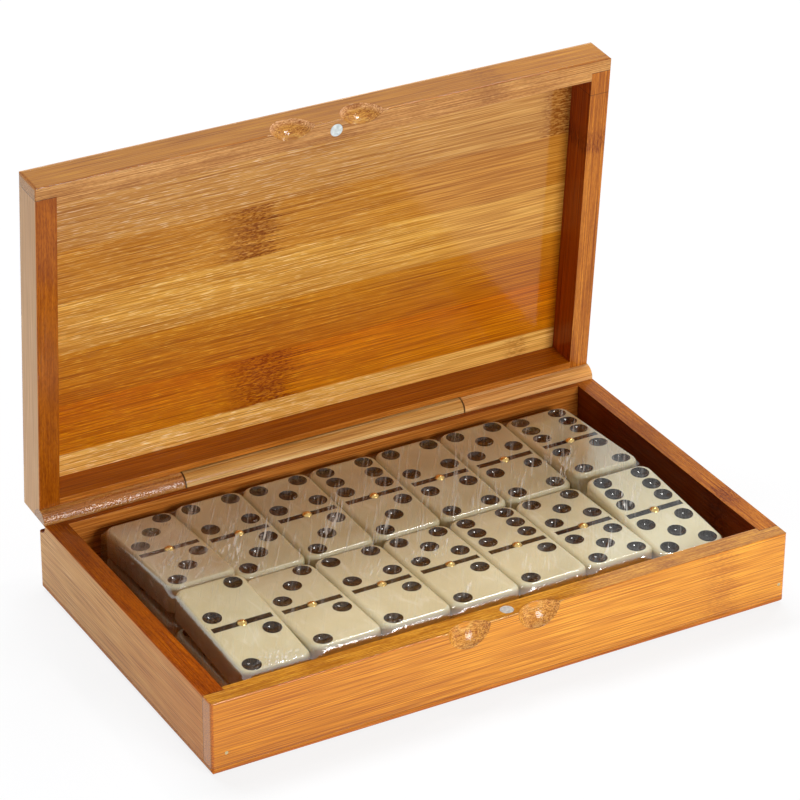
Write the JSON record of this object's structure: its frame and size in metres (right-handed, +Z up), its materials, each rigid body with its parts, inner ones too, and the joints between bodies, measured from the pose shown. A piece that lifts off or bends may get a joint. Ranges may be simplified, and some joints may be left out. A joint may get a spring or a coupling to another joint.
{
  "type": "domino storage box",
  "caption": "Hinged bamboo box, open, holding two layers of domino tiles; knuckle hinge, finger scoops and magnet catch.",
  "frame": {"origin": "middle of the underside of the base", "axes": "+X along the hinge line, to the right seen from the front; +Y from the front rail to the hinge; +Z up"},
  "size_m": [0.2, 0.132, 0.1442],
  "materials": {
    "rail_bamboo": "satin lacquer",
    "panel_bamboo": "satin lacquer",
    "bottom_bamboo": "satin lacquer",
    "knuckle_bamboo": "satin lacquer",
    "tile": "polished",
    "pip_paint": "gloss",
    "shrink_film": "clear film",
    "spinner": "polished",
    "brad": "satin",
    "magnet": "nickel plated",
    "hinge_pin": "drawn wire"
  },
  "bodies": {
    "base": {"base_bottom_panel": "bottom_bamboo", "base_front_rail": "rail_bamboo", "base_back_rail": "rail_bamboo", "base_left_rail": "rail_bamboo", "base_right_rail": "rail_bamboo", "base_middle_knuckle": "knuckle_bamboo", "base_magnet": "magnet", "base_brads": "brad", "left_hinge_pin": "hinge_pin", "right_hinge_pin": "hinge_pin", "upper_spinners": "spinner", "lower_spinners": "spinner", "tile_3_3": "tile", "tile_4_3": "tile", "tile_5_3": "tile", "tile_6_3": "tile", "tile_4_4": "tile", "tile_5_4": "tile", "tile_6_4": "tile", "tile_2_2": "tile", "tile_3_2": "tile", "tile_4_2": "tile", "tile_5_2": "tile", "tile_6_2": "tile", "tile_5_5": "tile", "tile_6_5": "tile", "tile_0_0": "tile", "tile_1_0": "tile", "tile_1_1": "tile", "tile_2_0": "tile", "tile_2_1": "tile", "tile_3_0": "tile", "tile_3_1": "tile", "tile_4_0": "tile", "tile_4_1": "tile", "tile_5_0": "tile", "tile_5_1": "tile", "tile_6_0": "tile", "tile_6_1": "tile", "tile_6_6": "tile"},
    "lid": {"lid_top_panel": "panel_bamboo", "lid_front_rail": "rail_bamboo", "lid_back_rail": "rail_bamboo", "lid_left_rail": "rail_bamboo", "lid_right_rail": "rail_bamboo", "lid_left_knuckle": "knuckle_bamboo", "lid_right_knuckle": "knuckle_bamboo", "lid_magnet": "magnet"}
  },
  "joints": [
    {"name": "lid_hinge", "type": "hinge", "parent": "base", "child": "lid", "pos_m": [0, 0.0586, 0.0256], "axis": [1, 0, 0], "range_deg": [-60, 85.8]}
  ]
}
